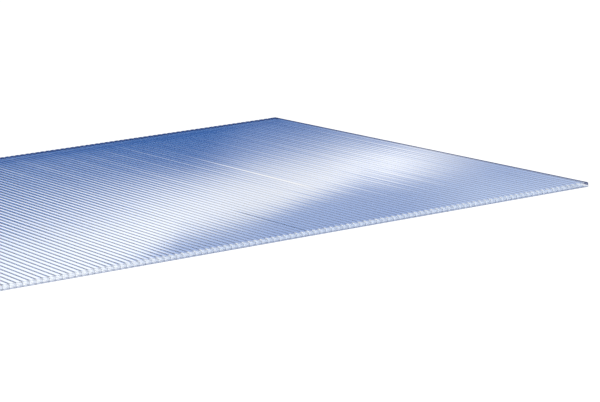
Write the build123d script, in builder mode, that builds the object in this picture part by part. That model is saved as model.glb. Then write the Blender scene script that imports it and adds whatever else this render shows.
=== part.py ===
from build123d import *
import os

# Twin-wall polycarbonate sheet, lying flat. Millimetres.
# X runs across the flutes, Y along them, and Z is up from the face that it lies on.
flute_count = 200
flute_pitch = 10.5
sheet_length = 1000.0
sheet_thickness = 8.0

# The walls of the extruded section
skin_thickness = 0.45
web_thickness = 0.5

# The thickening where a web meets a skin, and the rounding of the sheet's two closed side edges
web_root_chamfer = 0.25
side_edge_radius = 1.5

# Worked out from these: the outermost webs close the sheet's two sides
sheet_width = flute_count * flute_pitch + web_thickness
flute_width = flute_pitch - web_thickness
flute_height = sheet_thickness - 2 * skin_thickness
flute_span = sheet_width - 2 * web_thickness
inner_edge_radius = side_edge_radius - web_thickness

# The upright plane at the sheet's far end, at mid thickness, which the section is drawn on
far_end = Plane(
    origin=(0, sheet_length / 2, sheet_thickness / 2), x_dir=(1, 0, 0), z_dir=(0, -1, 0)
)

# One flute's air space
with BuildSketch() as flute:
    Rectangle(flute_width, flute_height)
    chamfer(flute.vertices(), web_root_chamfer)

# The row of flutes, whose two end ones follow the sheet's rounded side edges
with BuildSketch() as flutes:
    with GridLocations(flute_pitch, flute_height, flute_count, 1):
        add(flute.sketch)
    RectangleRounded(flute_span, flute_height, inner_edge_radius, mode=Mode.INTERSECT)

# The sheet: two skins joined by webs, run out along the flutes and sawn square at both ends
with BuildPart() as sheet:
    with BuildSketch(far_end) as section:
        RectangleRounded(sheet_width, sheet_thickness, side_edge_radius)
        add(flutes.sketch, mode=Mode.SUBTRACT)
    extrude(amount=sheet_length)

os.makedirs("parts", exist_ok=True)
sheet.part.label = "twin_wall_sheet"
export_step(sheet.part, "parts/twin_wall_sheet.step")
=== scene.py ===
import math
from types import SimpleNamespace

import bmesh
import bpy
from mathutils import Matrix, Vector


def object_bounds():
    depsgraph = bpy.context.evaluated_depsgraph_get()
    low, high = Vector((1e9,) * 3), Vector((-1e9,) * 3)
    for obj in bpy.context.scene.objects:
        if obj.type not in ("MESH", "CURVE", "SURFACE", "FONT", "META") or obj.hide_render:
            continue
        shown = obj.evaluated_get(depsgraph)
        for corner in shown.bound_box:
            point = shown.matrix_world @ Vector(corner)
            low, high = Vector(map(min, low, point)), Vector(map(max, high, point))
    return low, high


# The sheet's section: how many flutes it has, and its web's thickness in metres
FLUTE_COUNT = 200
WEB = 0.0005

# The camera: its place in metres, its aim and roll in degrees, its focal length in widths of the picture,
# its sensor in millimetres, and how far it sees in metres
CAMERA_PLACE = (-1.3538, -3.5525, 0.7526)
CAMERA_AZIMUTH = 31.160
CAMERA_DIP = 11.031
CAMERA_ROLL = -2.948
FOCAL_WIDTHS = 3.9575
SENSOR = 36
SIGHT = 100

# How many see-through faces a ray may pass: at a low angle it passes through many webs
SEE_THROUGH_FACES = 64

# The softbox that the sheet mirrors, in degrees of azimuth and elevation. A line is the azimuth and
# elevation of a point on it and its rise per degree. The head keeps to the lower of two lines, down to its
# lowest, and the softbox fades out between the azimuths where it ends.
LIGHT_FOOT = (28.0, 10.61, -0.14)
LIGHT_HEAD = (28.0, 11.79, -0.20)
LIGHT_HEAD_FALL = (30.0, 11.40, -0.30)
LIGHT_LOWEST_HEAD = 10.56
LIGHT_END = (33.2, 36.4)

# How the softbox changes from left to right: how high and how blurred its foot and head are, how well the
# head closes it, and how strong it is. A step is where it starts and ends and how much it adds. A slope is
# where it ends and how much it adds for each degree to the left of that. The hot spot is where it is
# brightest and how far that reaches.
FOOT_STEPS = ((29.0, 31.0, -0.04), (32.0, 34.5, 0.23))
FOOT_BLUR = 0.5
FOOT_BLUR_SLOPE = (30.0, 0.1)
FOOT_BLUR_STEPS = ((29.0, 31.0, 0.25), (32.0, 33.7, -0.33))
HEAD_SLOPE = (28.2, 0.3)
HEAD_BLUR = 0.25
HEAD_BLUR_STEPS = ((31.5, 33.0, 0.13),)
HEAD_COVER = 0.91
HEAD_COVER_STEPS = ((29.5, 31.0, 0.09),)
LIGHT_STRENGTH = 1.31
LIGHT_STRENGTH_STEPS = ((27.0, 30.4, -0.27),)
LIGHT_HOT_SPOT = (33.4, 1.3)
LIGHT_HOT_SPOT_STRENGTH = 0.27
LIGHT_FACE = (0.985, 0.985, 0.985, 1)

# The blue studio around it. It pales from one elevation to another, and both come lower towards the right:
# by a step, and by a slope that is where it starts and how much it adds for each degree to the right of
# that. At the far right it has a haze.
DEEP_BLUE = (0.04, 0.125, 0.38, 1)
PALE_BLUE = (0.37, 0.45, 0.68, 1)
PALING = (9.4, 11.1)
PALING_STEPS = ((28.3, 30.3, 0.7),)
PALING_SLOPE = (30.0, 0.1)
HAZE_BLUE = (0.57, 0.65, 0.84, 1)
HAZE_ACROSS = (33.4, 36.0)
HAZE_UP = (10.3, 11.1)
HAZE_SHARE = 0.95

# What the photo's sheet doesn't mirror, in degrees: a soft strip of light, which keeps a distance to both
# sides of the camera's aim, and a white ceiling
SKY_WHITE = (0.85, 0.90, 1.0, 1)
STRIP_FOOT = (12.5, 15.0)
STRIP_HEAD = (17.0, 20.0)
STRIP_ASIDE = (9.0, 20.0)
CEILING = (20.0, 32.0)

# What the camera sees around the sheet, and the even light from all round
WHITE = (1, 1, 1, 1)
DAYLIGHT = (0.95, 0.97, 1, 1)
DAYLIGHT_STRENGTH = 0.7

# The soft lamp: its place and width in metres, and its power in watts
LAMP_PLACE = (-2.5, -1.5, 3.0)
LAMP_WIDTH = 2.0
LAMP_POWER = 90

# The floor: how far it reaches from the middle, and how far it lies below the sheet, so that the two never
# meet in one plane, both in metres. What is seen of it is part lit grey and part its own glow, and what
# lights the sheet from below is pale grey.
FLOOR_REACH = 30
FLOOR_GAP = 0.0005
FLOOR_LIT = (0.3, 0.3, 0.3, 1)
FLOOR_GLOW = 0.85
FLOOR_PALE = (0.9, 0.9, 0.9, 1)

# The bands that marks on the sheet lie in: the distances from an edge or a face, in metres, where a mark
# starts and where it is full
SKIN_BAND = (0.0003, 0.0001)
SIDE_BAND = (0.008, 0.005)
CORNER_SIDE_BAND = (0.007, 0.005)
CORNER_CUT_BAND = (0.02, 0.01)
BACK_BAND = (0.026, 0.018)
RIM_BAND = (0.012, 0.006)
MOUTH_BAND = (0.04, 0.03)
BURR_BAND = (0.007, 0.004)
BURR_TOP_BAND = (0.0022, 0.0012)
BURR_SIDE_BAND = (0.02, 0.012)
WEB_TOP_BAND = (0.002, 0.001)

# Heights in metres: above the underside, where the lower skin's painted shade ends and where a corner's
# painted dark reflection starts, and below the top, where a side's painted dark reflection is full. And
# where the painted highlight starts, across the sheet.
LOW_RISE = (0.0008, 0.0012)
CORNER_RISE = (0.002, 0.0035)
SIDE_TOP = 0.002
BURR_START = (0.05, 0.3)

# Half the width of the marks at each web, as a share of a flute
BACK_NOTCH_WIDTH = 0.3
FOOT_LINE_WIDTH = 0.15
BURR_WIDTH = 0.17
WEB_WIDTH = 0.22
WEB_TOP_WIDTH = 0.3

# How far a face turns from the eye, from 0 to 1, where a mark starts and is full. And how squarely a face
# looks along the flutes, from 0 to 1, to be a cut.
BACK_SLANT = (0.5, 0.8)
MOUTH_SLANT = (0.4, 0.75)
SKIN_SLANT = (0.35, 0.8)
CUT_FACING = (0.6, 0.8)

# How much of each mark shows, from 0 to 1. A pair is what shows everywhere and what a second mark adds.
SIDE_SHARE = 0.85
BACK_SHARES = (0.8, 0.2)
RIM_SHARES = (0.25, 0.35)
WEB_SHARE = 0.93
FOOT_LINE_SHARE = 0.4
FROST_SHARES = (0.8, 0.2)

# How clearly the webs' painted shade in the gloss and the sag show. They fade towards the right, from
# further right at the back, and fade again at the very back. At the front the webs' painted shade shows
# all the same. Places are in metres.
FADE_ACROSS = (0.15, 0.75)
FADE_ACROSS_SHARE = 0.86
FADE_LEAN = (0.1, 0.4)
FADE_LEAN_DISTANCE = 0.12
FADE_BACK = (0.3, 0.48)
FADE_BACK_SHARE = 0.5
FRONT = (-0.42, -0.15)
FRONT_WEB_SHARE = 0.5

# A painted dark streak along one web, counted from the middle, and where it stops, in metres
DARK_WEB = 48
DARK_WEB_END = (-0.32, -0.22)

# The relief of the skins, in metres: how deep they sag between the webs, and how deep their streaks are.
# The sag is a share of its full depth. It is more towards the back and the left, and less on the right at
# the front. Every flute has the first of two shares of that, and a chance part of the second. The streaks
# are deeper on the right.
SAG_DEPTH = 0.00004
SAG_SHARE = 0.45
SAG_STEPS = ((-0.4, 0.1, 0.45), (0.2, 0.5, 0.35))
SAG_CALM_ACROSS = (0.1, 0.3)
SAG_CALM_SHARE = 0.27
SAG_LEFT_ACROSS = (0.1, 0.4)
SAG_LEFT_ALONG = (-0.3, 0.1)
SAG_LEFT_SHARE = 0.4
SAG_CHANCE = (0.7, 0.6)
STREAK_DEPTH = 0.00002
STREAK_STEPS = ((0.5, 0.75, 0.00002),)
STREAKS_PER_METRE = 60.0
STREAK_DETAIL = 3.0

# Steps in the top skin that catch the light as a line along one flute: their place, counted in flutes from
# the middle, and their height in metres. The first is the clearest, and has a line of gloss of its own.
# A reach is where along the flutes they are highest and how far they run, in metres.
SKIN_STEPS = ((66.6, 0.000022), (71.8, 0.000008), (75.5, 0.000007), (53.5, 0.000008))
STEP_HALF_WIDTH = 0.15
STEP_REACH = (0.04, 0.14)
CLEAR_LINE_WIDTH = 0.25
CLEAR_LINE_REACH = (-0.11, 0.17)
CLEAR_LINE_GLOSS = 0.35

# What the plastic lets through: the top skin seen square on and at a slant, and all other faces. Then
# painted shade in the flutes' mouths at the left and at the right and on the rim of their walls, the webs
# deepened by painted shade, and painted dark reflection along the edges
SKIN_TINT = (0.86, 0.92, 0.98, 1)
SLANTED_SKIN_TINT = (0.31, 0.50, 0.88, 1)
WALL_TINT = (0.94, 0.965, 0.995, 1)
LEFT_MOUTH_TINT = (0.90, 0.92, 0.955, 1)
RIGHT_MOUTH_TINT = (0.74, 0.80, 0.91, 1)
MOUTH_ACROSS = (0.1, 0.45)
RIM_TINT = (0.20, 0.26, 0.42, 1)
WEB_TINT = (0.11, 0.11, 0.13, 1)
EDGE_TINT = (0.01, 0.03, 0.14, 1)

# The colours of the sawn ends, all painted light and shade: the frosted cut's dark shade, the bluer shade
# of its lower skin, and the white of the painted highlight at the web tops
FROSTED = (0.07, 0.08, 0.13, 1)
CUT_FOOT = (0.17, 0.22, 0.38, 1)
BURR_WHITE = (0.95, 0.98, 1.0, 1)

# The gloss, as the share mirrored square on, how much more at a slant, and the power that it grows by: the
# polished outer faces and the duller walls of the flutes. The painted shade at the webs and the painted
# dark reflection at the edges take away some of it.
POLISHED = (0.05, 1.1, 2)
DULL = (0.04, 0.45, 5)
GLOSS_ROUGHNESS = 0.03
GLOSS_HIDDEN = 0.9


class Value:
    """One output socket. Sums on it add Math nodes."""

    def __init__(self, nodes, socket):
        self.nodes = nodes
        self.socket = socket

    def maths(self, operation, *others):
        sockets = dict(enumerate((self, *others)))
        return self.nodes.add("ShaderNodeMath", {"operation": operation}, sockets)

    def __add__(self, other):
        return self.maths("ADD", other)

    def __sub__(self, other):
        return self.maths("SUBTRACT", other)

    def __rsub__(self, other):
        return (self * -1) + other

    def __mul__(self, other):
        return self.maths("MULTIPLY", other)

    def __truediv__(self, other):
        return self.maths("DIVIDE", other)

    def __pow__(self, other):
        return self.maths("POWER", other)

    def __abs__(self):
        return self.maths("ABSOLUTE")

    __radd__ = __add__
    __rmul__ = __mul__


class Nodes:
    """A node tree that is filled from empty, one node at a time."""

    def __init__(self, tree):
        self.tree = tree
        tree.nodes.clear()

    def add(self, kind, settings=None, sockets=None, output=0):
        """A new node, with its settings first and then a value or a link on its sockets."""
        node = self.tree.nodes.new(kind)
        for name, setting in (settings or {}).items():
            setattr(node, name, setting)
        for name, value in (sockets or {}).items():
            if isinstance(value, Value):
                self.tree.links.new(value.socket, node.inputs[name])
            else:
                node.inputs[name].default_value = value
        return Value(self, node.outputs[output]) if node.outputs else node

    def split(self, vector):
        node = self.add("ShaderNodeSeparateXYZ", {}, {0: vector}).socket.node
        return [Value(self, socket) for socket in node.outputs]

    def smooth(self, value, start, end):
        """0 up to start, 1 from end on, and a soft step between."""
        stops = {"Value": value, "From Min": start, "From Max": end}
        return self.add("ShaderNodeMapRange", {"interpolation_type": "SMOOTHSTEP"}, stops)

    def near(self, value, edge, band):
        """1 beside an edge, and falling to 0 between the band's two distances from it."""
        start, full = band
        return self.smooth(value, edge - start, edge - full)

    def hump(self, value, middle, width):
        """1 at middle, fading to both sides as a bell does."""
        away = (value - middle) / width
        return (away * away * -1).maths("EXPONENT")

    def profile(self, value, level, steps):
        """A level that each soft step adds to, as value passes from the step's start to its end."""
        for start, end, change in steps:
            level = self.smooth(value, start, end) * change + level
        return level

    def mix_colours(self, share, first, second):
        """Sockets 6 and 7 and output 2 are the Mix node's colours."""
        sockets = {"Factor": share, 6: first, 7: second}
        return self.add("ShaderNodeMix", {"data_type": "RGBA"}, sockets, output=2)

    def mix_shaders(self, share, first, second):
        return self.add("ShaderNodeMixShader", {}, {0: share, 1: first, 2: second})

    def see_through(self, colour):
        return self.add("ShaderNodeBsdfTransparent", {}, {"Color": colour})

    def diffuse(self, colour):
        return self.add("ShaderNodeBsdfDiffuse", {}, {"Color": colour})

    def background(self, colour, strength=1.0):
        return self.add("ShaderNodeBackground", {}, {"Color": colour, "Strength": strength})


def height_of(line, azimuth):
    """The elevation of a line at an azimuth."""
    at_azimuth, at_elevation, rise = line
    return (azimuth - at_azimuth) * rise + at_elevation


def slope(distance, rise):
    """What a slope adds at a distance along it, and 0 before it."""
    return distance.maths("MAXIMUM", 0.0) * rise


def both_shares(shares, mark):
    """The share that shows everywhere, and what a mark adds to it."""
    everywhere, more = shares
    return everywhere + mark * more


def gloss_at(slant, gloss):
    """The share that a face mirrors at a slant."""
    least, more, power = gloss
    return slant**power * more + least


def material(name):
    made = bpy.data.materials.new(name)
    made.use_nodes = True
    return made, Nodes(made.node_tree)


def link(thing):
    bpy.context.scene.collection.objects.link(thing)
    return thing


def photo_camera():
    """The camera at the photograph's viewing angle."""
    azimuth, dip, roll = (math.radians(a) for a in (CAMERA_AZIMUTH, CAMERA_DIP, CAMERA_ROLL))
    level = Vector((math.sin(azimuth), math.cos(azimuth), 0))
    forward = level * math.cos(dip) - Vector((0, 0, math.sin(dip)))
    right = forward.cross(Vector((0, 0, 1))).normalized()
    right = Matrix.Rotation(-roll, 3, forward) @ right
    up = right.cross(forward)
    data = bpy.data.cameras.new("camera")
    data.sensor_width = SENSOR
    data.lens = FOCAL_WIDTHS * SENSOR
    data.clip_end = SIGHT
    camera = link(bpy.data.objects.new("camera", data))
    turn = Matrix((right, up, -forward)).transposed().to_4x4()
    camera.matrix_world = Matrix.Translation(CAMERA_PLACE) @ turn
    bpy.context.scene.camera = camera


def softbox_glow(nodes, azimuth, elevation):
    """Where the long softbox is, from 0 to 1. It narrows and sinks to the right."""
    foot_height = nodes.profile(azimuth, height_of(LIGHT_FOOT, azimuth), FOOT_STEPS)
    blur_end, blur_rise = FOOT_BLUR_SLOPE
    foot_blur = nodes.profile(azimuth, FOOT_BLUR + slope(blur_end - azimuth, blur_rise), FOOT_BLUR_STEPS)
    foot = nodes.smooth((elevation - foot_height) / foot_blur, -1.0, 1.0)

    head_height = height_of(LIGHT_HEAD, azimuth).maths("MINIMUM", height_of(LIGHT_HEAD_FALL, azimuth))
    head_end, head_rise = HEAD_SLOPE
    head_height = head_height.maths("MAXIMUM", LIGHT_LOWEST_HEAD) + slope(head_end - azimuth, head_rise)
    head_blur = nodes.profile(azimuth, HEAD_BLUR, HEAD_BLUR_STEPS)
    head = nodes.smooth((elevation - head_height) / head_blur, -1.0, 1.0)
    head = head * nodes.profile(azimuth, HEAD_COVER, HEAD_COVER_STEPS)
    return foot * (1 - head) * (1 - nodes.smooth(azimuth, *LIGHT_END))


def studio_blue(nodes, azimuth, elevation):
    """The colour of the studio around the softbox, in reflections."""
    paling_start, paling_rise = PALING_SLOPE
    lift = nodes.profile(azimuth, slope(azimuth - paling_start, paling_rise), PALING_STEPS)
    blue = nodes.mix_colours(nodes.smooth(elevation + lift, *PALING), DEEP_BLUE, PALE_BLUE)
    haze = nodes.smooth(azimuth, *HAZE_ACROSS) * nodes.smooth(elevation, *HAZE_UP) * HAZE_SHARE
    blue = nodes.mix_colours(haze, blue, HAZE_BLUE)
    strip = nodes.smooth(elevation, *STRIP_FOOT) * (1 - nodes.smooth(elevation, *STRIP_HEAD))
    strip = strip * nodes.smooth(abs(azimuth - CAMERA_AZIMUTH), *STRIP_ASIDE)
    bright = strip.maths("MAXIMUM", nodes.smooth(elevation, *CEILING))
    return nodes.mix_colours(bright, blue, SKY_WHITE)


def studio_world():
    """White to the camera, even and neutral as light, and a blue studio with a softbox in reflections."""
    world = bpy.data.worlds.new("studio")
    bpy.context.scene.world = world
    world.use_nodes = True
    nodes = Nodes(world.node_tree)
    x, y, z = nodes.split(nodes.add("ShaderNodeTexCoord", output="Generated"))
    azimuth = x.maths("ARCTAN2", y) * (180 / math.pi)
    elevation = z.maths("ARCSINE") * (180 / math.pi)

    strength = nodes.profile(azimuth, LIGHT_STRENGTH, LIGHT_STRENGTH_STEPS)
    strength = strength + nodes.hump(azimuth, *LIGHT_HOT_SPOT) * LIGHT_HOT_SPOT_STRENGTH
    lamp = nodes.background(LIGHT_FACE, strength)
    room = nodes.background(studio_blue(nodes, azimuth, elevation))
    mirrored = nodes.mix_shaders(softbox_glow(nodes, azimuth, elevation), room, lamp)

    is_camera = nodes.add("ShaderNodeLightPath", output="Is Camera Ray")
    is_glossy = nodes.add("ShaderNodeLightPath", output="Is Glossy Ray")
    light = nodes.background(DAYLIGHT, DAYLIGHT_STRENGTH)
    around = nodes.mix_shaders(is_camera, light, nodes.background(WHITE))
    nodes.add("ShaderNodeOutputWorld", {}, {0: nodes.mix_shaders(is_glossy, around, mirrored)})


def key_softbox():
    """A soft lamp aimed at the sheet's middle, which stays out of its reflections."""
    data = bpy.data.lights.new("key_softbox", "AREA")
    data.shape = "DISK"
    data.size = LAMP_WIDTH
    data.energy = LAMP_POWER
    lamp = link(bpy.data.objects.new("key_softbox", data))
    lamp.location = LAMP_PLACE
    lamp.rotation_euler = (-Vector(LAMP_PLACE)).to_track_quat("-Z", "Y").to_euler()
    lamp.visible_glossy = False


def white_floor():
    """White paint that keeps a faint shadow, and lights the sheet from below as a pale floor does."""
    paint, nodes = material("white_floor")
    glow = nodes.add("ShaderNodeEmission", {}, {"Color": WHITE, "Strength": FLOOR_GLOW})
    seen = nodes.add("ShaderNodeAddShader", {}, {0: nodes.diffuse(FLOOR_LIT), 1: glow})
    is_diffuse = nodes.add("ShaderNodeLightPath", output="Is Diffuse Ray")
    surface = nodes.mix_shaders(is_diffuse, seen, nodes.diffuse(FLOOR_PALE))
    nodes.add("ShaderNodeOutputMaterial", {}, {0: surface})
    return paint


def pale_floor():
    """A plain floor just below the sheet."""
    shape = bmesh.new()
    bmesh.ops.create_grid(shape, x_segments=1, y_segments=1, size=FLOOR_REACH)
    bmesh.ops.translate(shape, vec=(0, 0, -FLOOR_GAP), verts=shape.verts)
    mesh = bpy.data.meshes.new("floor")
    shape.to_mesh(mesh)
    shape.free()
    mesh.materials.append(white_floor())
    floor = link(bpy.data.objects.new("floor", mesh))


def place_on_sheet(nodes, low, high):
    """Where a point lies on the sheet, and marks from 0 to 1 for the kind of face that it is on."""
    at = SimpleNamespace(low=low, high=high, middle=(low.z + high.z) / 2)
    at.x, at.y, at.z = nodes.split(nodes.add("ShaderNodeTexCoord", output="Object"))
    at.flutes = at.x / ((high.x - low.x - WEB) / FLUTE_COUNT)
    at.from_web = (at.flutes + 0.5).maths("FRACT") - 0.5
    at.slant = nodes.add("ShaderNodeLayerWeight", output="Facing")
    at.within = nodes.add("ShaderNodeNewGeometry", output="Backfacing")
    _, along, _ = nodes.split(nodes.add("ShaderNodeNewGeometry", output="True Normal"))
    at.on_cut = nodes.smooth(abs(along), *CUT_FACING)
    at.outside = nodes.near(abs(at.z - at.middle), at.middle, SKIN_BAND)
    at.on_top = nodes.near(at.z, high.z, SKIN_BAND)
    low_start, low_end = LOW_RISE
    at.low_down = 1 - nodes.smooth(at.z, low.z + low_start, low.z + low_end)
    at.in_mouth = nodes.near(abs(at.y), high.y, MOUTH_BAND) * nodes.smooth(at.slant, *MOUTH_SLANT)
    return at


def mark_edges(nodes, at):
    """Painted dark reflection: the sheet's edges take a deep blue that stands in for the dark studio they
    mirror, a line along each closed side, which goes further down at the corners, and one along the back
    cut, notched by the flutes."""
    across = abs(at.x)
    side = nodes.near(across, at.high.x, SIDE_BAND) * nodes.smooth(at.z, at.middle, at.high.z - SIDE_TOP)
    corner = nodes.near(across, at.high.x, CORNER_SIDE_BAND)
    corner = corner * nodes.near(abs(at.y), at.high.y, CORNER_CUT_BAND)
    rise_start, rise_end = CORNER_RISE
    corner = corner * nodes.smooth(at.z, at.low.z + rise_start, at.low.z + rise_end)
    at.side_line = side.maths("MAXIMUM", corner)
    back_line = nodes.near(at.y, at.high.y, BACK_BAND) * nodes.smooth(at.slant, *BACK_SLANT) * at.on_top
    back_line = back_line * both_shares(BACK_SHARES, nodes.hump(at.from_web, 0.0, BACK_NOTCH_WIDTH))
    # The edges' painted dark reflection
    at.edges = (at.side_line * SIDE_SHARE).maths("MAXIMUM", back_line)


def mark_cuts(nodes, at):
    """Near both cuts, painted shade: a darker rim on the flutes' walls, more at the bottom, and a line at
    the webs' feet where one looks into the flutes. And a painted highlight at the webs' tops, from the
    middle to just before the right-hand side."""
    along = abs(at.y)
    # Painted shade on the flutes' walls near the cuts, more at the bottom
    rim = nodes.near(along, at.high.y, RIM_BAND) * both_shares(RIM_SHARES, at.low_down)
    at.rim = rim * (1 - at.outside)
    # Painted shade at the webs' feet, where one looks into the flutes
    at.foot_line = nodes.hump(at.from_web, 0.0, FOOT_LINE_WIDTH) * at.low_down * at.in_mouth
    # Painted highlight at the webs' tops near the cuts
    burr = nodes.near(along, at.high.y, BURR_BAND) * nodes.hump(at.from_web, 0.0, BURR_WIDTH)
    burr = burr * nodes.near(at.z, at.high.z, BURR_TOP_BAND) * nodes.smooth(at.x, *BURR_START)
    at.burr = burr * (1 - nodes.near(abs(at.x), at.high.x, BURR_SIDE_BAND))


def mark_webs(nodes, at):
    """The webs show through the top skin as lines deepened by painted shade, most clearly in the gloss
    towards the left. A painted dark streak lies along one of them, and the clearest step in the skin has a
    line of gloss along it."""
    lean = nodes.smooth(at.y, *FADE_LEAN) * FADE_LEAN_DISTANCE
    clearly = 1 - nodes.smooth(at.x - lean, *FADE_ACROSS) * FADE_ACROSS_SHARE
    at.clearly = clearly * (1 - nodes.smooth(at.y, *FADE_BACK) * FADE_BACK_SHARE)
    at.in_front = 1 - nodes.smooth(at.y, *FRONT)
    at.web_line = nodes.hump(at.from_web, 0.0, WEB_WIDTH) * at.on_top
    dark_web = nodes.hump(at.flutes, DARK_WEB, WEB_WIDTH)
    at.dark_web = dark_web * (1 - nodes.smooth(at.y, *DARK_WEB_END)) * at.on_top
    clear_line = nodes.hump(at.flutes, SKIN_STEPS[0][0], CLEAR_LINE_WIDTH)
    at.clear_line = clear_line * nodes.hump(at.y, *CLEAR_LINE_REACH) * at.on_top


def skin_relief(nodes, at):
    """The skins sag between the webs, more on one flute than on the next, with streaks and a few steps."""
    calm = nodes.smooth(at.x, *SAG_CALM_ACROSS) * at.in_front * SAG_CALM_SHARE
    left = (1 - nodes.smooth(at.x, *SAG_LEFT_ACROSS)) * nodes.smooth(at.y, *SAG_LEFT_ALONG)
    sag = SAG_SHARE - calm + left * SAG_LEFT_SHARE
    sag = nodes.profile(at.y, sag, SAG_STEPS) * at.clearly * SAG_DEPTH
    flute = at.flutes.maths("FLOOR")
    chance = nodes.add("ShaderNodeTexWhiteNoise", {"noise_dimensions": "1D"}, {"W": flute})
    height = (at.flutes * (2 * math.pi)).maths("COSINE") * both_shares(SAG_CHANCE, chance) * sag

    grain = {"W": at.x, "Scale": STREAKS_PER_METRE, "Detail": STREAK_DETAIL}
    streaks = nodes.add("ShaderNodeTexNoise", {"noise_dimensions": "1D"}, grain)
    height = height + streaks * nodes.profile(at.x, STREAK_DEPTH, STREAK_STEPS)

    reach = nodes.hump(at.y, *STEP_REACH)
    for place, rise in SKIN_STEPS:
        step = nodes.smooth(at.flutes, place - STEP_HALF_WIDTH, place + STEP_HALF_WIDTH)
        height = height + step * reach * rise
    relief = {"Strength": 1.0, "Distance": 1.0, "Height": height * at.outside}
    return nodes.add("ShaderNodeBump", {}, relief)


def tinted_plastic(nodes, at):
    """See-through plastic, deeper in colour where it is seen along its face and passed at a slant, with
    painted shade in the flutes' mouths, on the rim of their walls and at the webs, and painted dark
    reflection along the edges.
    """
    square_on, slanted = nodes.see_through(SKIN_TINT), nodes.see_through(SLANTED_SKIN_TINT)
    skin = nodes.mix_shaders(nodes.smooth(at.slant, *SKIN_SLANT), square_on, slanted)
    left, right = nodes.see_through(LEFT_MOUTH_TINT), nodes.see_through(RIGHT_MOUTH_TINT)
    # Painted shade in the flutes' mouths, deeper towards the right
    mouth = nodes.mix_shaders(nodes.smooth(at.x, *MOUTH_ACROSS), left, right)
    wall = nodes.mix_shaders(at.in_mouth, nodes.see_through(WALL_TINT), mouth)
    body = nodes.mix_shaders(at.on_top, wall, skin)
    # Painted shade on the rim of the flutes' walls near the cuts
    body = nodes.mix_shaders(at.rim, body, nodes.see_through(RIM_TINT))
    webs = (at.web_line * WEB_SHARE).maths("MAXIMUM", at.dark_web)
    webs = webs.maths("MAXIMUM", at.foot_line * FOOT_LINE_SHARE)
    # The webs show through as lines deepened by painted shade, with a painted dark streak and painted
    # shade at the webs' feet
    body = nodes.mix_shaders(webs, body, nodes.see_through(WEB_TINT))
    # Painted dark reflection along the edges, in a deep blue tint
    return nodes.mix_shaders(at.edges, body, nodes.see_through(EDGE_TINT))


def with_sawn_ends(nodes, at, body):
    """Frosted where it is sawn, in a dark painted shade that is lighter and bluer on the lower skin, with
    a painted highlight at the webs' tops.
    """
    # Painted highlight: white at the webs' tops near the cuts
    pale = nodes.diffuse(BURR_WHITE)
    web_top = nodes.near(at.z, at.high.z, WEB_TOP_BAND) * nodes.hump(at.from_web, 0.0, WEB_TOP_WIDTH)
    # Painted shade on the frosted cut, and a painted highlight at the webs' tops
    upper = nodes.mix_shaders(web_top, nodes.diffuse(FROSTED), pale)
    # A lighter, bluer painted shade on the lower skin's cut
    sawn = nodes.mix_shaders(at.low_down, upper, nodes.diffuse(CUT_FOOT))
    frost = at.on_cut * both_shares(FROST_SHARES, at.low_down) * (1 - at.side_line)
    return nodes.mix_shaders(at.burr, nodes.mix_shaders(frost, body, sawn), pale)


def mirrored_share(nodes, at):
    """How much of the light a face mirrors: none on the cuts, on the painted highlight at the webs' tops,
    and seen from within.
    """
    shown = at.clearly.maths("MAXIMUM", at.in_front * FRONT_WEB_SHARE)
    # The painted shade at the webs, the painted dark streak and the edges' painted dark reflection take
    # away gloss
    hidden = (at.web_line * shown).maths("MAXIMUM", at.dark_web).maths("MAXIMUM", at.edges)
    polished = gloss_at(at.slant, POLISHED) + at.clear_line * at.slant * CLEAR_LINE_GLOSS
    polished = polished * (1 - hidden * GLOSS_HIDDEN)
    dull = gloss_at(at.slant, DULL)
    mirror = dull + (polished - dull) * at.outside
    return mirror * (1 - at.on_cut) * (1 - at.burr) * (1 - at.within)


def clear_polycarbonate(low, high):
    """Clear plastic with a blue cast: glossy skins, a line at each web deepened by painted shade, painted
    dark reflection along the edges, and frosted sawn ends in painted shade and highlight.
    """
    paint, nodes = material("clear_polycarbonate")
    at = place_on_sheet(nodes, low, high)
    mark_edges(nodes, at)
    mark_cuts(nodes, at)
    mark_webs(nodes, at)
    body = with_sawn_ends(nodes, at, tinted_plastic(nodes, at))
    body = nodes.mix_shaders(at.within, body, nodes.see_through(WHITE))
    look = {"Color": WHITE, "Roughness": GLOSS_ROUGHNESS, "Normal": skin_relief(nodes, at)}
    gloss = nodes.add("ShaderNodeBsdfGlossy", {}, look)
    surface = nodes.mix_shaders(mirrored_share(nodes, at), body, gloss)
    nodes.add("ShaderNodeOutputMaterial", {}, {0: surface})
    return paint


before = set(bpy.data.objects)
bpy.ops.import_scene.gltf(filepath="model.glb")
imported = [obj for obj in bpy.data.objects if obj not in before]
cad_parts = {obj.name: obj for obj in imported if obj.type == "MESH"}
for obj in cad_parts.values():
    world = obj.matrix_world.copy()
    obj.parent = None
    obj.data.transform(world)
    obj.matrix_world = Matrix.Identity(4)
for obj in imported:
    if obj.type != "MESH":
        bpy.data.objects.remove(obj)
cad_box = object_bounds()

photo_camera()
studio_world()
pale_floor()
key_softbox()
bpy.context.scene.view_settings.view_transform = "Standard"
bpy.context.scene.cycles.transparent_max_bounces = SEE_THROUGH_FACES

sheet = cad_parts["twin_wall_sheet"]
sheet.data.materials.clear()
sheet.data.materials.append(clear_polycarbonate(*cad_box))
